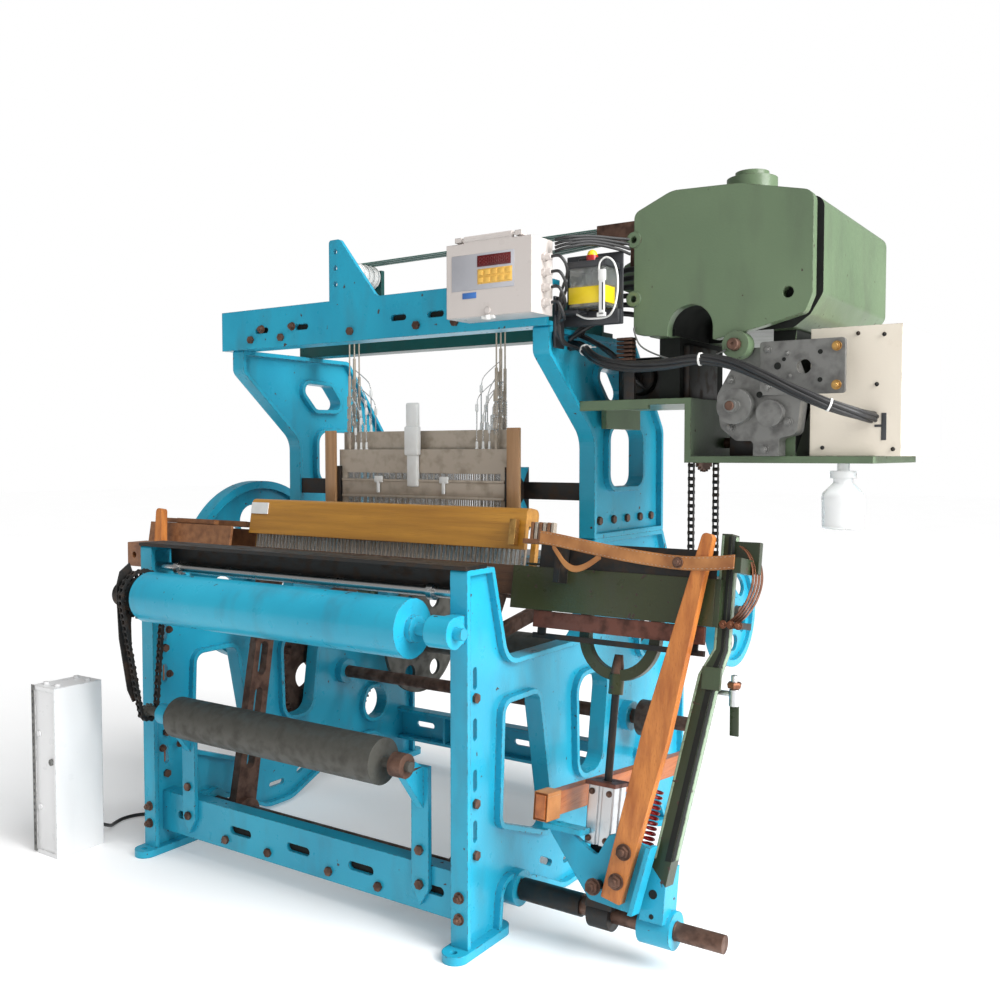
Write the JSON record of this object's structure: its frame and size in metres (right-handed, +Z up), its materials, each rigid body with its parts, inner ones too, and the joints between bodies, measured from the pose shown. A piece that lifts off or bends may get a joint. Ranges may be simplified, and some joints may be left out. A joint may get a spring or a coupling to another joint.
{
  "type": "computerized loom",
  "caption": "Shuttle loom with cast side frames, rocking lay, drop shuttle boxes, heald frames and an overhead dobby with control box.",
  "frame": {"origin": "on the floor, at the centre of the four anchor holes in the feet", "axes": "+Z up, +X along the loom's width towards the dobby side, front of the loom at -Y"},
  "size_m": [2.508, 1.637, 1.993],
  "materials": {
    "loom_blue": "glossy enamel over castings",
    "dobby_green": "glossy enamel over castings",
    "olive_paint": "worn enamel",
    "teal_paint": "enamel",
    "teal_strap": "woven strap",
    "dark_steel": "oiled black",
    "bright_steel": "polished",
    "rusty_steel": "brown with oil and light rust",
    "grey_roller": "dull",
    "grey_cast": "cast",
    "stick_wood": "oiled hardwood",
    "beam_wood": "dark stained",
    "cap_wood": "varnished",
    "strap_leather": "tanned",
    "heald_metal": "dull",
    "white_plastic": "moulded",
    "pale_box": "powder coat",
    "control_grey": "powder coat",
    "cabinet_white": "powder coat",
    "lubricator": "moulded",
    "black_cable": "sheathed"
  },
  "bodies": {
    "frame": {"left_side_frame": "loom_blue", "right_side_frame": "loom_blue", "front_cross_rail": "loom_blue", "rear_cross_rail": "loom_blue", "breast_beam": "dark_steel", "breast_end_block": "stick_wood", "cloth_guide_bar": "bright_steel", "take_up_chain": "dark_steel", "cloth_roller_brackets": "loom_blue", "front_top_beam": "loom_blue", "rear_top_beam": "teal_paint", "left_arch": "loom_blue", "right_arch": "loom_blue", "harness_straps": "teal_strap", "dobby_bracket": "dobby_green", "dobby_front_plate": "dobby_green", "dobby_housing": "dobby_green", "dobby_jacks": "rusty_steel", "dobby_gearbox": "grey_cast", "drive_control_box": "pale_box", "cable_bundle": "black_cable", "control_box": "control_grey", "oil_reservoir": "lubricator", "oil_drip_bottle": "white_plastic", "frame_bolts": "rusty_steel", "dobby_chain": "dark_steel", "drive_motor": "dobby_green", "electric_cabinet": "cabinet_white", "cabinet_cable": "black_cable"},
    "take_up": {"take_up_roller": "loom_blue"},
    "cloth_roll": {"cloth_roller": "grey_roller"},
    "left_pulley": {"left_harness_pulley": "white_plastic"},
    "right_pulley": {"right_harness_pulley": "white_plastic"},
    "crank": {"crankshaft": "rusty_steel", "flywheel": "loom_blue", "handwheel": "loom_blue"},
    "bottom": {"bottom_shaft": "rusty_steel"},
    "arms": {"crank_arms": "rusty_steel"},
    "dobby_input": {"dobby_sprocket": "rusty_steel"},
    "lay": {"rocking_shaft": "rusty_steel", "lay_beam": "beam_wood", "reed": "heald_metal", "reed_cap": "cap_wood", "outer_sword": "dobby_green", "left_shuttle_box": "olive_paint", "box_front_plate": "olive_paint", "lift_cylinder": "grey_cast", "picking_strap": "strap_leather"},
    "boxes": {"drop_box": "olive_paint", "lift_fork": "olive_paint"},
    "right_stick": {"right_picking_stick": "stick_wood", "right_picking_shoe": "loom_blue"},
    "left_stick": {"left_picking_stick": "stick_wood"},
    "side_lever": {"right_side_lever": "stick_wood"},
    "warp": {"warp_beam": "grey_roller"},
    "whip": {"whip_roll": "bright_steel"},
    "door": {"control_box_door": "control_grey"},
    "heald_1": {"heald_frame_1": "heald_metal"},
    "heald_2": {"heald_frame_2": "heald_metal"},
    "heald_3": {"heald_frame_3": "heald_metal"}
  },
  "joints": [
    {"name": "take_up_turn", "type": "hinge", "parent": "frame", "child": "take_up", "pos_m": [0, -0.705, 0.822], "axis": [1, 0, 0], "continuous": true},
    {"name": "cloth_roll_turn", "type": "hinge", "parent": "frame", "child": "cloth_roll", "pos_m": [0, -0.69, 0.47], "axis": [1, 0, 0], "continuous": true},
    {"name": "crank_turn", "type": "hinge", "parent": "frame", "child": "crank", "pos_m": [0, 0.155, 0.795], "axis": [1, 0, 0], "continuous": true},
    {"name": "bottom_shaft_turn", "type": "hinge", "parent": "frame", "child": "bottom", "pos_m": [0, 0.23359, 0.42526], "axis": [1, 0, 0], "continuous": true},
    {"name": "crank_arm_turn", "type": "hinge", "parent": "crank", "child": "arms", "pos_m": [0, 0.209, 0.795], "axis": [1, 0, 0], "continuous": true},
    {"name": "dobby_input_turn", "type": "hinge", "parent": "frame", "child": "dobby_input", "pos_m": [0.9, 0.155, 1.282], "axis": [1, 0, 0], "continuous": true},
    {"name": "left_pulley_turn", "type": "hinge", "parent": "frame", "child": "left_pulley", "pos_m": [-0.262, -0.02, 1.85], "axis": [0, 1, 0], "continuous": true},
    {"name": "right_pulley_turn", "type": "hinge", "parent": "frame", "child": "right_pulley", "pos_m": [0.342, -0.02, 1.8], "axis": [0, 1, 0], "continuous": true},
    {"name": "lay_swing", "type": "hinge", "parent": "frame", "child": "lay", "pos_m": [0, -0.41, 0.1], "axis": [1, 0, 0], "range_deg": [0, 10]},
    {"name": "box_lift", "type": "slide", "parent": "lay", "child": "boxes", "axis": [0, 0.1736, 0.9848], "range_m": [0, 0.05]},
    {"name": "right_pick", "type": "hinge", "parent": "lay", "child": "right_stick", "pos_m": [0.906, -0.49847, 0.20293], "axis": [0, -0.9848, 0.1736], "range_deg": [0, 22]},
    {"name": "left_pick", "type": "hinge", "parent": "lay", "child": "left_stick", "pos_m": [-0.732, -0.49847, 0.20293], "axis": [0, 0.9848, -0.1736], "range_deg": [0, 15]},
    {"name": "side_lever_press", "type": "hinge", "parent": "frame", "child": "side_lever", "pos_m": [0.776, 0.305, 0.286], "axis": [1, 0, 0], "range_deg": [0, 3.6]},
    {"name": "warp_beam_turn", "type": "hinge", "parent": "frame", "child": "warp", "pos_m": [0, 0.57, 0.52], "axis": [1, 0, 0], "continuous": true},
    {"name": "whip_roll_turn", "type": "hinge", "parent": "frame", "child": "whip", "pos_m": [0, 0.58, 0.852], "axis": [1, 0, 0], "continuous": true},
    {"name": "door_open", "type": "hinge", "parent": "frame", "child": "door", "pos_m": [0.5075, -0.381, 1.83], "axis": [-1, 0, 0], "range_deg": [0, 95]},
    {"name": "heald_1_lift", "type": "slide", "parent": "frame", "child": "heald_1", "axis": [0, 0, 1], "range_m": [0, 0.06]},
    {"name": "heald_2_lift", "type": "slide", "parent": "frame", "child": "heald_2", "axis": [0, 0, 1], "range_m": [-0.06, 0]},
    {"name": "heald_3_lift", "type": "slide", "parent": "frame", "child": "heald_3", "axis": [0, 0, 1], "range_m": [0, 0.06]}
  ],
  "couplings": [
    {"joint": "cloth_roll_turn", "follows": "take_up_turn", "ratio": 2.7289},
    {"joint": "bottom_shaft_turn", "follows": "crank_turn", "ratio": -0.5},
    {"joint": "crank_arm_turn", "follows": "crank_turn", "ratio": -1},
    {"joint": "dobby_input_turn", "follows": "crank_turn", "ratio": 1},
    {"joint": "right_pick", "follows": "side_lever_press", "ratio": 6.1111}
  ]
}
